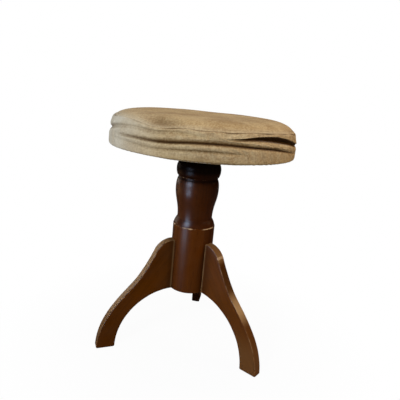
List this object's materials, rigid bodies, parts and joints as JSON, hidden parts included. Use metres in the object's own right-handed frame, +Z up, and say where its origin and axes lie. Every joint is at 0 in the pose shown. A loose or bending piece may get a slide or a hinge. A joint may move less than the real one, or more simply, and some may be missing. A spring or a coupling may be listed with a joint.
{
  "type": "revolving piano stool",
  "caption": "Three-legged wooden stool whose round padded seat, under a loose cloth cover, turns on a steel screw to rise or sink.",
  "frame": {"origin": "on the floor, under the column's axis", "axes": "+Z up along the column's screw; the rear leg points 75 degrees from +X towards +Y, the left leg 195 and the right leg 315 degrees"},
  "size_m": [0.3472, 0.3472, 0.4565],
  "materials": {
    "hub": "satin",
    "column": "satin",
    "leg_rear": "satin",
    "leg_left": "satin",
    "leg_right": "satin",
    "leg_dowels": "matte",
    "nut": "matte",
    "nut_screws": "satin",
    "thrust_washer": "matte",
    "spindle": "satin",
    "spindle_pin": "satin",
    "stop_collar": "satin",
    "stop_screw": "satin",
    "seat_plate": "matte",
    "plate_screws": "satin",
    "seat_board": "matte",
    "foam_pad": "matte",
    "wadding": "matte",
    "inner_cover": "matte",
    "cover_tacks": "satin",
    "cover_top": "matte",
    "cover_band": "matte",
    "hem_elastic": "matte"
  },
  "bodies": {
    "base": {"hub": "hub", "column": "column", "leg_rear": "leg_rear", "leg_left": "leg_left", "leg_right": "leg_right", "leg_dowels": "leg_dowels", "nut": "nut", "nut_screws": "nut_screws"},
    "riser": {"thrust_washer": "thrust_washer"},
    "seat": {"spindle": "spindle", "spindle_pin": "spindle_pin", "stop_collar": "stop_collar", "stop_screw": "stop_screw", "seat_plate": "seat_plate", "plate_screws": "plate_screws", "seat_board": "seat_board", "foam_pad": "foam_pad", "wadding": "wadding", "inner_cover": "inner_cover", "cover_tacks": "cover_tacks", "cover_top": "cover_top", "cover_band": "cover_band", "hem_elastic": "hem_elastic"}
  },
  "joints": [
    {"name": "seat_rise", "type": "slide", "parent": "base", "child": "riser", "axis": [0, 0, 1], "range_m": [0, 0.108]},
    {"name": "seat_turn", "type": "hinge", "parent": "riser", "child": "seat", "pos_m": [0, 0, 0.37], "axis": [0, 0, 1], "range_deg": [0, 6480]}
  ],
  "couplings": [
    {"joint": "seat_rise", "follows": "seat_turn", "m_per_rad": 0.00095493}
  ]
}
